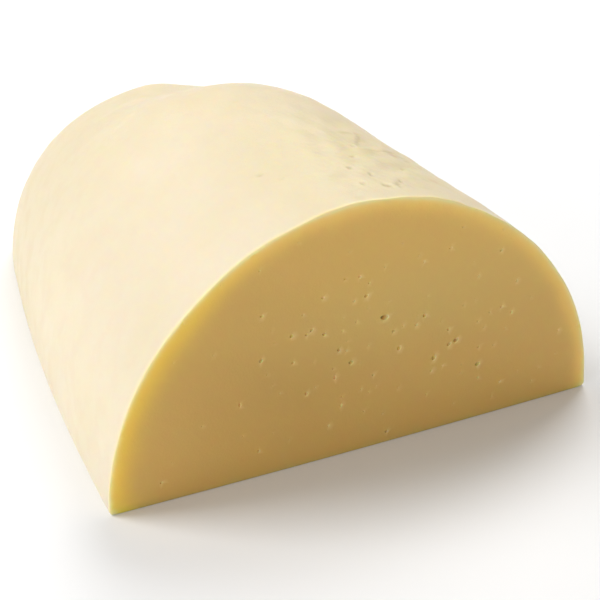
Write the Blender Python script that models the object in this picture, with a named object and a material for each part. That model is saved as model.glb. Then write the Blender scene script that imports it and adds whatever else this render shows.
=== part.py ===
"""A half log of provolone, lying on its lengthwise cut, with a flat crosswise cut at the front.

The whole cheese is a round log with a blunt, tapered nose. One cut along the log, just below its
axis, gives the flat base. A second cut across the log gives the D-shaped front. The solid is a
stack of D-shaped rings from the front cut to the nose, bridged one to the next and capped.

Frame: metres, +Z up. The origin is the centre of the base's box, the front cut faces -Y and the
nose points to +Y.
"""

import math

import bmesh
import bpy
import numpy as np

MM = 0.001

# The log's section at the front cut: a superellipse about an axis just above the base
HALF_WIDTH = 100.0 * MM
AXIS_HEIGHT = 2.7 * MM
AXIS_TO_TOP = 99.4 * MM
SECTION_POWER = 1.94

# The log along its length, with the axis a little off to one side at the nose
LENGTH = 240.0 * MM
SIDE_DRIFT = -2.0 * MM

# The width tapers over the whole length: (1 - share ** start power) ** (1 / end power).
# The height keeps level as far as the share CROWN_START, then falls as a quarter ellipse.
PLAN_START_POWER = 1.10
PLAN_END_POWER = 3.68
CROWN_START = 0.344

# Rounded edges of the lengthwise cut and of the crosswise cut
HEEL_RADIUS = 1.8 * MM
RIM_RADIUS = 1.5 * MM
MOST_HEEL_SHARE = 0.3  # of the height, where the nose runs low

# Soft swells and hollows of the hand-shaped rind: (x, distance from the front cut, spread, height)
RELIEF = (
    (3.3 * MM, 160.3 * MM, 16.9 * MM, -5.1 * MM),
    (18.3 * MM, 119.1 * MM, 26.3 * MM, 2.6 * MM),
    (-3.7 * MM, 187.3 * MM, 9.1 * MM, 1.6 * MM),
    (-38.6 * MM, 210.7 * MM, 25.6 * MM, 6.0 * MM),
    (42.6 * MM, 213.7 * MM, 25.6 * MM, 6.0 * MM),
)

# Facets
RING_SPACING = 7.5 * MM
NOSE_HALF_WIDTH = 10.0 * MM  # of the last ring, which the nose's small flat closes
ARC_STEPS = 44
CORNER_STEPS = 3
BASE_STEPS = 8
PATH_SAMPLES = 4000
SHARP_ANGLE = math.radians(40.0)

RIND_COLOUR = (0.90, 0.77, 0.55, 1.0)
RIND_ROUGHNESS = 0.45


def clear_scene():
    """Removes whatever the scene holds."""
    for found in list(bpy.data.objects):
        bpy.data.objects.remove(found, do_unlink=True)


def signed_power(value, power):
    """The power of a number's size, with the number's own sign."""
    return np.sign(value) * np.abs(value) ** power


def plan_scale(share):
    """Half width at a share of the length, as a share of that at the front cut."""
    return (1.0 - share**PLAN_START_POWER) ** (1.0 / PLAN_END_POWER)


def crown_scale(share):
    """Height at a share of the length, as a share of the height at the front cut."""
    past = np.clip((share - CROWN_START) / (1.0 - CROWN_START), 0.0, 1.0)
    return np.sqrt(1.0 - past**2)


def rounded_edge(radius):
    """Depths from a cut and insets from the rind, round a quarter circle from the cut outwards."""
    turn = np.radians(np.linspace(0.0, 90.0, CORNER_STEPS + 1))[:-1]
    return radius * (1.0 - np.cos(turn)), radius * (1.0 - np.sin(turn))


def body_shares():
    """Shares of the length for the rings behind the front rim, evenly spaced along the plan."""
    narrow = (NOSE_HALF_WIDTH / HALF_WIDTH) ** PLAN_END_POWER
    last = (1.0 - narrow) ** (1.0 / PLAN_START_POWER)
    first = RIM_RADIUS / LENGTH
    share = last - (last - first) * np.linspace(1.0, 0.0, PATH_SAMPLES) ** 3
    steps = np.hypot(HALF_WIDTH * np.diff(plan_scale(share)), LENGTH * np.diff(share))
    travelled = np.concatenate(([0.0], np.cumsum(steps)))
    count = round(travelled[-1] / RING_SPACING)
    return np.interp(np.linspace(0.0, travelled[-1], count + 1), travelled, share)


def with_relief(x, y, z, axis_x):
    """Moves points away from the axis by the sum of the swells and hollows, each a soft bell."""
    height = np.zeros_like(x)
    for bell_x, bell_y, spread, amount in RELIEF:
        height += amount * np.exp(-((x - bell_x) ** 2 + (y - bell_y) ** 2) / (2.0 * spread**2))
    away = np.maximum(np.hypot(x - axis_x, z), MM)
    return x + height * (x - axis_x) / away, z + height * z / away


def section_ring(share):
    """The D-shaped ring at a share of the length: over the log from side to side, then the base."""
    half_width = HALF_WIDTH * plan_scale(share)
    crown = crown_scale(share)
    axis_x = SIDE_DRIFT * share

    def angle_at(z):
        """Angle from the vertical at which the section passes a height."""
        rise = (z / crown - AXIS_HEIGHT) / AXIS_TO_TOP
        return np.arccos(signed_power(rise, SECTION_POWER / 2.0))

    def side_at(angle):
        """Distance from the axis to the side of the section at an angle from the vertical."""
        return half_width * signed_power(np.sin(angle), 2.0 / SECTION_POWER)

    heel = min(HEEL_RADIUS, MOST_HEEL_SHARE * AXIS_TO_TOP * crown)
    heel_z, heel_inset = rounded_edge(heel)
    heel_x = side_at(angle_at(heel_z)) - heel_inset
    limit = float(angle_at(heel))
    angle = np.linspace(limit, -limit, ARC_STEPS + 1)
    rise = AXIS_TO_TOP * signed_power(np.cos(angle), 2.0 / SECTION_POWER)
    arc_z = crown * (AXIS_HEIGHT + rise)

    x = axis_x + np.concatenate((heel_x, side_at(angle), -heel_x[::-1]))
    z = np.concatenate((heel_z, arc_z, heel_z[::-1]))
    x, z = with_relief(x, LENGTH * share, z, axis_x)
    base_x = np.linspace(x[-1], x[0], BASE_STEPS + 1)[1:-1]
    x = np.concatenate((x, base_x))
    z = np.concatenate((z, np.zeros_like(base_x)))
    return np.column_stack((x, np.full_like(x, LENGTH * (share - 0.5)), z))


def inset_ring(points, inset):
    """A ring drawn in on all sides by the same amount, towards the middle of its height."""
    top = points[:, 2].max()
    drawn = points.copy()
    drawn[:, 0] *= 1.0 - inset / np.abs(points[:, 0]).max()
    drawn[:, 2] = top / 2.0 + (points[:, 2] - top / 2.0) * (1.0 - 2.0 * inset / top)
    return drawn


def all_rings():
    """The rings from the front cut to the nose: round the front rim first, then along the log."""
    rings = []
    for depth, inset in zip(*rounded_edge(RIM_RADIUS)):
        rings.append(inset_ring(section_ring(depth / LENGTH), inset))
    for share in body_shares():
        rings.append(section_ring(share))
    return rings


def add_loop(mesh, points):
    """A closed loop of edges through the points."""
    corners = [mesh.verts.new(point) for point in points]
    return [mesh.edges.new((a, b)) for a, b in zip(corners, corners[1:] + corners[:1])]


def build_cheese():
    """The half log as one closed solid."""
    mesh = bmesh.new()
    loops = [add_loop(mesh, points) for points in all_rings()]
    for near, far in zip(loops, loops[1:]):
        bmesh.ops.bridge_loops(mesh, edges=near + far)
    bmesh.ops.contextual_create(mesh, geom=loops[0])
    bmesh.ops.contextual_create(mesh, geom=loops[-1])
    bmesh.ops.recalc_face_normals(mesh, faces=mesh.faces)

    data = bpy.data.meshes.new("provolone_half_log")
    mesh.to_mesh(data)
    mesh.free()
    data.shade_smooth()
    data.set_sharp_from_angle(angle=SHARP_ANGLE)
    cheese = bpy.data.objects.new("provolone_half_log", data)
    bpy.context.scene.collection.objects.link(cheese)
    return cheese


def rind_material():
    """The pale, waxy rind."""
    material = bpy.data.materials.new("rind")
    material.use_nodes = True
    shader = material.node_tree.nodes["Principled BSDF"]
    shader.inputs["Base Color"].default_value = RIND_COLOUR
    shader.inputs["Roughness"].default_value = RIND_ROUGHNESS
    shader.inputs["Metallic"].default_value = 0.0
    return material


def main():
    """Clears the scene and builds the cheese."""
    clear_scene()
    cheese = build_cheese()
    cheese.data.materials.append(rind_material())


main()
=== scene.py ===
"""Half log of provolone: the finished look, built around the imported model.

The cheese is one closed piece. A waxy rind runs over the log from the front cut to the nose, and two
cut faces close it: the D-shaped crosswise cut at the front, and the lengthwise cut that it lies on.
Both cuts are dotted with the small eyes of the paste. Everything is in metres, +Z up, with the front
cut facing -Y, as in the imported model.
"""

import logging
import math
from dataclasses import dataclass, field
from enum import Enum
from typing import Any, Optional, Sequence

import bpy
import numpy as np
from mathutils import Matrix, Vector
from mathutils.geometry import delaunay_2d_cdt


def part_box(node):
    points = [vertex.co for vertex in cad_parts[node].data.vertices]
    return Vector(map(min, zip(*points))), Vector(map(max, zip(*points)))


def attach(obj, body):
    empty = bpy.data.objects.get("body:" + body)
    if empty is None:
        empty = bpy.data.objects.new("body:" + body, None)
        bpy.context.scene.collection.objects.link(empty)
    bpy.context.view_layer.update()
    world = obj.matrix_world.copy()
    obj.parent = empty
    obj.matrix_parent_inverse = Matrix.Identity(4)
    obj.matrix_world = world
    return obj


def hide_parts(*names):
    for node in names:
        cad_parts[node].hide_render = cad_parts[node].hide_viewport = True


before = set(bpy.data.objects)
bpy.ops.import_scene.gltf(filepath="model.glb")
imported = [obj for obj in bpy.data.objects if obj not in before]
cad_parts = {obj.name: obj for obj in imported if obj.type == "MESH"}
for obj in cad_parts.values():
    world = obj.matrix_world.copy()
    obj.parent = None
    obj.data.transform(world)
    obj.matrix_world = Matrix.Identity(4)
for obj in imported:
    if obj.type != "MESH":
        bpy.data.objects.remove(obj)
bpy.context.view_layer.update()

LOG = logging.getLogger("provolone")
NODE = "provolone_half_log"
MM = 0.001

Colour = tuple[float, float, float]
Array = np.ndarray


# ---------------------------------------------------------------------------------------------
# Shaders
# ---------------------------------------------------------------------------------------------


class Wire:
    """A shader socket that can stand in sums and products, each of which adds a Math node."""

    def __init__(self, shader: "Shader", socket: bpy.types.NodeSocket) -> None:
        """Wraps one output socket of a shader.

        Args:
            shader: the shader that the socket belongs to.
            socket: the output socket.
        """
        self.shader = shader
        self.socket = socket

    def __add__(self, other: "Value") -> "Wire":
        """This plus another value."""
        return self.shader.maths("ADD", self, other)

    def __radd__(self, other: "Value") -> "Wire":
        """Another value plus this."""
        return self.shader.maths("ADD", other, self)

    def __sub__(self, other: "Value") -> "Wire":
        """This less another value."""
        return self.shader.maths("SUBTRACT", self, other)

    def __rsub__(self, other: "Value") -> "Wire":
        """Another value less this."""
        return self.shader.maths("SUBTRACT", other, self)

    def __mul__(self, other: "Value") -> "Wire":
        """This times another value."""
        return self.shader.maths("MULTIPLY", self, other)

    def __rmul__(self, other: "Value") -> "Wire":
        """Another value times this."""
        return self.shader.maths("MULTIPLY", other, self)

    def __pow__(self, other: "Value") -> "Wire":
        """This to the power of another value."""
        return self.shader.maths("POWER", self, other)


Value = Wire | float


class Shader:
    """A material under construction, with short ways to add its nodes."""

    def __init__(self, name: str) -> None:
        """Starts a material with one Principled node.

        Args:
            name: the material's name.
        """
        self.material = bpy.data.materials.new(name)
        self.material.use_nodes = True
        self.tree = self.material.node_tree
        self.surface = self.tree.nodes["Principled BSDF"]

    def feed(self, socket: bpy.types.NodeSocket, value: Any) -> None:
        """Links or sets one input socket.

        Args:
            socket: the input socket.
            value: a Wire to link, or a plain value or colour to set.
        """
        if isinstance(value, Wire):
            self.tree.links.new(value.socket, socket)
        elif socket.type == "RGBA" and len(value) == 3:
            socket.default_value = (*value, 1.0)
        else:
            socket.default_value = value

    def node(
        self, kind: str, settings: Optional[dict[str, Any]] = None, sockets: Optional[dict[Any, Any]] = None
    ) -> bpy.types.Node:
        """Adds any node.

        Args:
            kind: the node's type, such as ShaderNodeBump.
            settings: its own settings, set first. A ramp's "stops" are pairs of place and grey.
            sockets: the values or Wires of its input sockets, by name or number.

        Returns:
            The node.
        """
        node = self.tree.nodes.new(kind)
        for name, setting in (settings or {}).items():
            if name == "stops":
                self._set_stops(node.color_ramp, setting)
            else:
                setattr(node, name, setting)
        for name, value in (sockets or {}).items():
            self.feed(node.inputs[name], value)
        return node

    @staticmethod
    def _set_stops(ramp: bpy.types.ColorRamp, stops: Sequence[tuple[float, float]]) -> None:
        """Gives a ramp its stops, each a pair of place and grey."""
        for element, (place, grey) in zip(ramp.elements, stops):
            element.position = place
            element.color = (grey, grey, grey, 1.0)

    def maths(self, operation: str, *values: Value, clamp: bool = False) -> Wire:
        """A Math node's result.

        Args:
            operation: the Math node's operation.
            values: its inputs.
            clamp: True to keep the result between 0 and 1.

        Returns:
            The result.
        """
        settings = {"operation": operation, "use_clamp": clamp}
        node = self.node("ShaderNodeMath", settings, dict(enumerate(values)))
        return Wire(self, node.outputs[0])

    def mix(self, share: Value, first: Any, second: Any) -> Wire:
        """A mix of two colours.

        Args:
            share: how much of the second colour, from 0 to 1.
            first: a colour or a Wire.
            second: a colour or a Wire.

        Returns:
            The mixed colour.
        """
        settings = {"data_type": "RGBA", "clamp_factor": True}
        node = self.node("ShaderNodeMix", settings, {0: share, 6: first, 7: second})
        return Wire(self, node.outputs[2])

    def place(self) -> Wire:
        """The point's place on the piece, in metres."""
        return Wire(self, self.node("ShaderNodeTexCoord").outputs["Object"])

    def noise(self, size: float, detail: float = 2.0, roughness: float = 0.5, shift: float = 0.0) -> Wire:
        """Soft noise from 0 to 1.

        Args:
            size: the width of its largest blotches, in metres.
            detail: how many finer layers it has.
            roughness: how strong the finer layers are.
            shift: how far the pattern is moved, so that two noises differ.

        Returns:
            The noise.
        """
        moved = self.node("ShaderNodeMapping", None, {"Vector": self.place(), "Location": (shift, shift, shift)})
        sockets = {
            "Vector": Wire(self, moved.outputs["Vector"]),
            "Scale": 1.0 / size,
            "Detail": detail,
            "Roughness": roughness,
        }
        return Wire(self, self.node("ShaderNodeTexNoise", None, sockets).outputs["Fac"])

    def fade(self, value: Wire, start: float, end: float) -> Wire:
        """A smooth rise from 0 at start to 1 at end.

        Args:
            value: what is read.
            start: where the rise starts.
            end: where the rise ends. It may be less than start.

        Returns:
            The rise.
        """
        settings = {"interpolation_type": "SMOOTHSTEP", "clamp": True}
        sockets = {"Value": value, "From Min": start, "From Max": end}
        return Wire(self, self.node("ShaderNodeMapRange", settings, sockets).outputs["Result"])

    def attribute(self, name: str) -> Wire:
        """A number that the mesh carries at each point."""
        return Wire(self, self.node("ShaderNodeAttribute", {"attribute_name": name}).outputs["Fac"])

    def bump(self, height: Wire, distance: float, strength: float = 1.0) -> None:
        """Gives the surface a fine relief.

        Args:
            height: the relief, from 0 to 1.
            distance: the height that 1 stands for, in metres.
            strength: how much of it shows.
        """
        sockets = {"Height": height, "Distance": distance, "Strength": strength}
        bump = self.node("ShaderNodeBump", None, sockets)
        self.feed(self.surface.inputs["Normal"], Wire(self, bump.outputs["Normal"]))

    def dress(self, **sockets: Any) -> None:
        """Sets or links the Principled node's sockets, named with _ for a space."""
        for name, value in sockets.items():
            self.feed(self.surface.inputs[name.replace("_", " ")], value)


@dataclass(frozen=True)
class Depth:
    """How far light travels under the surface before it comes out again."""

    weight: float = 1.0
    scale: float = 12.0 * MM
    reach: Colour = (1.0, 0.55, 0.16)
    bend: float = 1.4

    def apply(self, shader: Shader) -> None:
        """Sets the shader's subsurface sockets."""
        shader.dress(
            Subsurface_Weight=self.weight,
            Subsurface_Scale=self.scale,
            Subsurface_Radius=self.reach,
            IOR=self.bend,
        )


@dataclass(frozen=True)
class RindFinish:
    """The pale, waxy rind, faintly mottled, with olive stains in its nicks and a painted glow along the front cut.
    """

    cream: Colour = (0.79, 0.69, 0.51)
    butter: Colour = (0.775, 0.67, 0.44)
    blush: Colour = (0.785, 0.645, 0.47)
    # Painted glow: the rind's rounded rim at the front cut is lightened.
    edge: Colour = (1.0, 0.815, 0.45)
    edge_reach: float = 0.6 * MM
    stain: Colour = (0.50, 0.42, 0.16)
    red: Colour = (0.74, 0.42, 0.26)
    olive: Colour = (0.80, 0.69, 0.385)
    straw: Colour = (0.775, 0.66, 0.442)  # over the crest
    pale_straw: Colour = (0.855, 0.705, 0.475)  # down the right side
    darker_to_nose: Colour = (0.72, 0.612, 0.402)  # towards the nose
    depth: Depth = field(default_factory=lambda: Depth(weight=0.6, scale=6.0 * MM))

    def material(self) -> bpy.types.Material:
        """Builds the rind's material.

        Returns:
            The material.
        """
        shader = Shader("rind")
        broad = shader.fade(shader.noise(38.0 * MM, 2.0, shift=3.1), 0.38, 0.66)
        small = shader.fade(shader.noise(11.0 * MM, 2.0, shift=7.7), 0.42, 0.70)
        colour = shader.mix(broad * 0.45, self.cream, self.butter)
        colour = shader.mix(small * 0.25, colour, self.blush)
        axes = shader.node("ShaderNodeSeparateXYZ", None, {"Vector": shader.place()})
        across, along = Wire(shader, axes.outputs["X"]), Wire(shader, axes.outputs["Y"])
        # Darker and yellower towards the nose.
        to_nose_share = shader.fade(along, -30.0 * MM, 50.0 * MM) * 0.7 + shader.fade(along, 55.0 * MM, 105.0 * MM) * 0.3
        colour = shader.mix(to_nose_share, colour, self.darker_to_nose)
        colour = shader.mix(shader.fade(across, -40.0 * MM, 0.0) * 0.8, colour, self.straw)
        colour = shader.mix(shader.fade(across, 8.0 * MM, 38.0 * MM) * 0.85, colour, self.pale_straw)
        blotches = shader.fade(shader.noise(8.0 * MM, 3.0, 0.6, shift=4.4), 0.38, 0.62)
        colour = shader.mix(shader.attribute("rough") * (0.25 + 0.55 * blotches), colour, self.olive)
        # Painted glow along the front cut's rounded rim.
        cut_edge_glow = shader.maths("EXPONENT", shader.attribute("to_cut") * (-1.0 / self.edge_reach), clamp=True)
        colour = shader.mix(cut_edge_glow, colour, self.edge)
        colour = shader.mix(shader.attribute("red"), colour, self.red)
        colour = shader.mix(shader.attribute("stain"), colour, self.stain)
        skin = shader.noise(1.1 * MM, 3.0, 0.6) * 0.3 + shader.noise(6.0 * MM, 2.0, shift=1.3) * 0.7
        shader.bump(skin, 0.25 * MM)
        shader.dress(Base_Color=colour, Roughness=0.42 + 0.16 * small, Specular_IOR_Level=0.45)
        self.depth.apply(shader)
        return shader.material


@dataclass(frozen=True)
class PasteFinish:
    """The cut paste: amber with faint greenish mottling, yellower near the rind, plus painted glow, light and
    shade.
    """

    name: str = "paste"
    amber: Colour = (0.76, 0.48, 0.14)
    olive: Colour = (0.74, 0.50, 0.15)
    core: Colour = (0.73, 0.51, 0.16)
    core_place: tuple[float, float] = (22.0 * MM, 58.0 * MM)
    core_spread: tuple[float, float] = (52.0 * MM, 19.0 * MM)
    # Painted light: the paste is lighter towards the top, more so to the right.
    crown: Colour = (0.90, 0.60, 0.17)  # towards the top
    # Near the rind: partly the paste's own yellower edge, partly a painted glow of light through the rind.
    gold_and_glow: Colour = (1.0, 0.695, 0.18)
    # Painted glow: at the left, where light falls on the rind, the glow is deeper and wider.
    lit_side_glow: Colour = (1.0, 0.70, 0.10)  # at the left
    gold_and_glow_reach: float = 4.8 * MM
    lit_side_glow_reach: float = 7.0 * MM
    # Painted shade: the paste is darker at the left middle of the cut.
    dusk: Colour = (0.68, 0.43, 0.125)
    dusk_place: tuple[float, float] = (-32.0 * MM, 40.0 * MM)
    dusk_spread: tuple[float, float] = (38.0 * MM, 26.0 * MM)
    # Painted glow: a light band right at the rind, lightening the cut's rounded rim.
    edge: Colour = (1.0, 0.83, 0.42)
    edge_reach: float = 0.9 * MM
    # Painted shade in the eyes' floors.
    hollow: Colour = (0.20, 0.11, 0.02)
    # Painted highlight on the eyes' lit walls and at the centres of faint eyes.
    lip: Colour = (1.0, 0.79, 0.36)
    depth: Depth = field(default_factory=lambda: Depth(weight=0.8, scale=5.0 * MM))

    def material(self) -> bpy.types.Material:
        """Builds the paste's material.

        Returns:
            The material.
        """
        shader = Shader(self.name)
        mottle = shader.fade(shader.noise(14.0 * MM, 3.0, 0.55, shift=5.2), 0.40, 0.68)
        colour = shader.mix(mottle * 0.6, self.amber, self.olive)
        axes = shader.node("ShaderNodeSeparateXYZ", None, {"Vector": shader.place()})
        x, z = Wire(shader, axes.outputs["X"]), Wire(shader, axes.outputs["Z"])

        def bell(place: tuple[float, float], spread: tuple[float, float]) -> Wire:
            """A bell exp(-(x offset / spread) ** 2 - (z offset / spread) ** 2)."""
            across, up = (x - place[0]) * (1.0 / spread[0]), (z - place[1]) * (1.0 / spread[1])
            return shader.maths("EXPONENT", (across * across + up * up) * -1.0)

        # Painted shade at the left middle.
        colour = shader.mix(bell(self.dusk_place, self.dusk_spread), colour, self.dusk)
        colour = shader.mix(bell(self.core_place, self.core_spread), colour, self.core)
        # Painted light: lighter towards the top, more so to the right.
        painted_top_light = shader.fade(z, 30.0 * MM, 100.0 * MM) * (0.2 + 0.35 * shader.fade(x, -60.0 * MM, 10.0 * MM))
        colour = shader.mix(painted_top_light, colour, self.crown)
        # Painted glow near the rind, deeper and wider at the left; partly the paste's own yellower edge.
        from_left = shader.fade(x, -75.0 * MM, -25.0 * MM)
        to_rind = shader.attribute("to_rind")
        steep = from_left * (1.0 / self.gold_and_glow_reach - 1.0 / self.lit_side_glow_reach) + 1.0 / self.lit_side_glow_reach
        uneven = 0.75 + 0.5 * shader.noise(14.0 * MM, 2.0, shift=9.3)
        gold_and_glow_share = shader.maths("EXPONENT", (to_rind * steep * uneven) ** 2.0 * -1.0)
        colour = shader.mix(gold_and_glow_share, colour, shader.mix(from_left, self.lit_side_glow, self.gold_and_glow))
        # Painted glow along the rind's edge.
        rind_edge_glow = shader.maths("EXPONENT", to_rind * (-1.0 / self.edge_reach))
        colour = shader.mix(rind_edge_glow, colour, self.edge)
        hollow = shader.attribute("hollow")
        # Painted highlight on the eyes' lit walls and at the centres of faint eyes.
        colour = shader.mix(shader.attribute("lip"), colour, self.lip)
        # Painted shade on the eyes' floors, set to the left.
        colour = shader.mix(shader.fade(hollow, 0.2, 0.85), colour, self.hollow)
        grain = shader.noise(0.9 * MM, 3.0, 0.6) * 0.4 + shader.noise(4.0 * MM, 2.0, shift=2.2) * 0.6
        shader.bump(grain, 0.16 * MM)
        shader.dress(Base_Color=colour, Roughness=0.44 + 0.14 * mottle, Specular_IOR_Level=0.4)
        self.depth.apply(shader)
        return shader.material


@dataclass(frozen=True)
class PlainFinish:
    """One even colour, for the floor."""

    name: str
    colour: Colour
    roughness: float

    def material(self) -> bpy.types.Material:
        """Builds the plain material."""
        shader = Shader(self.name)
        shader.dress(Base_Color=self.colour, Roughness=self.roughness)
        return shader.material


# ---------------------------------------------------------------------------------------------
# Shapes
# ---------------------------------------------------------------------------------------------


class Slot(Enum):
    """The cheese's finishes, in the order of its material slots."""

    RIND = 0
    PASTE = 1


def signed_power(value: Array, power: float) -> Array:
    """The power of each number's size, with the number's own sign."""
    return np.sign(value) * np.abs(value) ** power


def waves(points: Array, size: float, seed: int, count: int = 24) -> Array:
    """Soft random waves: the mean of cosines in random directions, each of about the same length.

    Args:
        points: places, (..., axes).
        size: the waves' length, in the points' unit.
        seed: what the directions and starts are drawn from.
        count: how many waves are summed.

    Returns:
        Heights of about -1 to 1, one for each point.
    """
    draw = np.random.default_rng(seed)
    heading = draw.normal(size=(points.shape[-1], count))
    heading /= np.linalg.norm(heading, axis=0)
    turns = heading * draw.uniform(0.7, 1.4, count) * (math.tau / size)
    return np.cos(points @ turns + draw.uniform(0.0, math.tau, count)).sum(-1) / math.sqrt(count)


def distance_to(places: Array, others: Array) -> Array:
    """Distance from each place to the nearest of the others.

    Args:
        places: places, (points, axes).
        others: the places to measure to, (more points, axes).

    Returns:
        Distances, one for each place.
    """
    parts = np.array_split(places, 24)
    return np.concatenate([np.linalg.norm(part[:, None] - others, axis=-1).min(axis=1) for part in parts])


def graded(length: float, spacing: float, fine: float, middle: float, spread: float) -> Array:
    """Places from 0 to a length that stand closer round one of them.

    The spacing is spacing / (1 + (spacing / fine - 1) * bell), with a bell round the middle.

    Args:
        length: the last place.
        spacing: the spacing far from the middle.
        fine: the spacing at the middle.
        middle: where the places are closest.
        spread: the bell's spread.

    Returns:
        The places.
    """
    path = np.linspace(0.0, length, 4001)
    bell = np.exp(-0.5 * ((path - middle) / spread) ** 2)
    density = (1.0 + (spacing / fine - 1.0) * bell) / spacing
    filled = np.concatenate(([0.0], np.cumsum((density[1:] + density[:-1]) / 2.0 * np.diff(path))))
    return np.interp(np.linspace(0.0, filled[-1], math.ceil(filled[-1]) + 1), filled, path)


@dataclass(frozen=True)
class Swell:
    """A soft swell of the rind, or a dip where its height is negative."""

    x: float
    along: float
    spread: float
    height: float

    def at(self, x: Array, along: Array) -> Array:
        """The bell's height: height * exp(-(distance / spread) ** 2 / 2)."""
        return self.height * np.exp(-((x - self.x) ** 2 + (along - self.along) ** 2) / (2.0 * self.spread**2))


class MarkKind(Enum):
    """What a mark in the rind does: how much of its depth is cut, how much it stains, how much it reddens."""

    NICK = (1.0, 0.75, 0.0)
    SCRATCH = (0.5, 0.6, 0.0)
    SMUDGE = (0.0, 1.0, 0.0)
    SCAR = (0.5, 0.3, 1.0)


@dataclass(frozen=True)
class Mark:
    """A mark in the rind: a long bell across the surface, cut in and stained."""

    kind: MarkKind
    x: float
    along: float
    length: float
    width: float
    turn: float = 0.0
    depth: float = 0.5 * MM
    strength: float = 0.5

    def at(self, x: Array, along: Array) -> tuple[Array, Array, Array]:
        """How deep the mark is cut, and how much it stains and reddens each place.

        The bell is exp(-(u / half length) ** 4 - (v / half width) ** 2), u and v turned with the mark.

        Args:
            x: places across.
            along: places along the log, from the front cut.

        Returns:
            Depths in metres, and stains and redness from 0 to 1.
        """
        cut, tint, redness = self.kind.value
        across, back = x - self.x, along - self.along
        cos, sin = math.cos(math.radians(self.turn)), math.sin(math.radians(self.turn))
        u = (across * cos + back * sin) / (self.length / 2.0)
        v = (back * cos - across * sin) / (self.width / 2.0)
        bell = np.exp(-(u**4) - v**2)
        return bell * self.depth * cut, bell * self.strength * tint, bell * self.strength * redness


def rind_marks() -> list[Mark]:
    """The nicks, scratches and smudges on the rind, most of them in one rough patch by the front cut.

    Returns:
        The marks.
    """
    marks = [
        Mark(MarkKind.SMUDGE, 26.5 * MM, 64.2 * MM, 5.5 * MM, 2.6 * MM, 4.0, strength=0.45),
        Mark(MarkKind.NICK, 32.6 * MM, 66.0 * MM, 2.0 * MM, 1.5 * MM, 0.0, 0.7 * MM, 0.9),
        Mark(MarkKind.NICK, 22.6 * MM, 50.4 * MM, 1.7 * MM, 1.3 * MM, 0.0, 0.5 * MM, 0.8),
        Mark(MarkKind.NICK, 16.9 * MM, 39.3 * MM, 2.4 * MM, 1.2 * MM, 20.0, 0.4 * MM, 0.25),
        Mark(MarkKind.SCRATCH, 32.0 * MM, 49.3 * MM, 5.0 * MM, 1.0 * MM, 0.0, 0.6 * MM, 0.5),
        Mark(MarkKind.SCRATCH, 38.0 * MM, 50.9 * MM, 7.5 * MM, 1.0 * MM, 24.0, 0.7 * MM, 0.6),
        Mark(MarkKind.SCAR, 39.0 * MM, 48.6 * MM, 3.6 * MM, 3.4 * MM, 0.0, 0.2 * MM, 0.45),
        Mark(MarkKind.SMUDGE, 42.7 * MM, 49.5 * MM, 4.0 * MM, 2.5 * MM, 0.0, strength=0.25),
        Mark(MarkKind.NICK, 42.9 * MM, 45.0 * MM, 2.6 * MM, 1.4 * MM, 20.0, 0.5 * MM, 0.6),
        Mark(MarkKind.NICK, 9.6 * MM, 28.2 * MM, 2.0 * MM, 1.6 * MM, 0.0, 0.5 * MM, 0.6),
        Mark(MarkKind.NICK, 15.0 * MM, 21.8 * MM, 3.8 * MM, 1.2 * MM, 71.0, 0.5 * MM, 0.8),
        Mark(MarkKind.NICK, 33.1 * MM, 30.0 * MM, 2.6 * MM, 1.2 * MM, 60.0, 0.4 * MM, 0.35),
        Mark(MarkKind.NICK, 15.6 * MM, 10.8 * MM, 3.2 * MM, 1.5 * MM, -27.0, 0.9 * MM, 1.0),
        Mark(MarkKind.NICK, 20.4 * MM, 11.7 * MM, 2.8 * MM, 1.4 * MM, 35.0, 0.6 * MM, 0.7),
        Mark(MarkKind.NICK, 23.1 * MM, 14.2 * MM, 2.0 * MM, 1.4 * MM, 35.0, 0.6 * MM, 0.85),
        Mark(MarkKind.NICK, 20.3 * MM, 9.2 * MM, 2.4 * MM, 1.2 * MM, 30.0, 0.4 * MM, 0.3),
        Mark(MarkKind.NICK, 7.7 * MM, 14.3 * MM, 2.4 * MM, 1.5 * MM, 30.0, 0.5 * MM, 0.6),
        Mark(MarkKind.NICK, 0.8 * MM, 3.2 * MM, 3.0 * MM, 1.6 * MM, 0.0, 0.4 * MM, 0.4),
        Mark(MarkKind.SMUDGE, 37.9 * MM, 21.9 * MM, 4.0 * MM, 3.5 * MM, 0.0, strength=0.15),
        Mark(MarkKind.SCAR, 42.7 * MM, 23.8 * MM, 4.0 * MM, 4.0 * MM, 0.0, 0.1 * MM, 0.25),
        Mark(MarkKind.SMUDGE, 30.9 * MM, 10.0 * MM, 4.0 * MM, 3.0 * MM, 0.0, strength=0.12),
        Mark(MarkKind.SMUDGE, 2.0 * MM, 23.0 * MM, 8.0 * MM, 6.0 * MM, 0.0, strength=0.16),
        Mark(MarkKind.NICK, -20.5 * MM, 41.0 * MM, 1.5 * MM, 2.0 * MM, 0.0, 0.5 * MM, 0.35),
        Mark(MarkKind.NICK, -16.5 * MM, 32.5 * MM, 1.5 * MM, 1.5 * MM, 0.0, 0.4 * MM, 0.3),
        Mark(MarkKind.SMUDGE, -41.0 * MM, 35.5 * MM, 5.0 * MM, 3.0 * MM, 50.0, strength=0.05),
        Mark(MarkKind.SMUDGE, -51.0 * MM, 22.5 * MM, 3.0 * MM, 5.0 * MM, 0.0, strength=0.05),
    ]
    for step in range(4):
        x, along = (31.3 - 1.45 * step) * MM, (62.6 - 2.8 * step) * MM
        marks.append(Mark(MarkKind.NICK, x, along, 4.2 * MM, 0.8 * MM, 43.0, 0.3 * MM, 0.5))
    return marks


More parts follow.
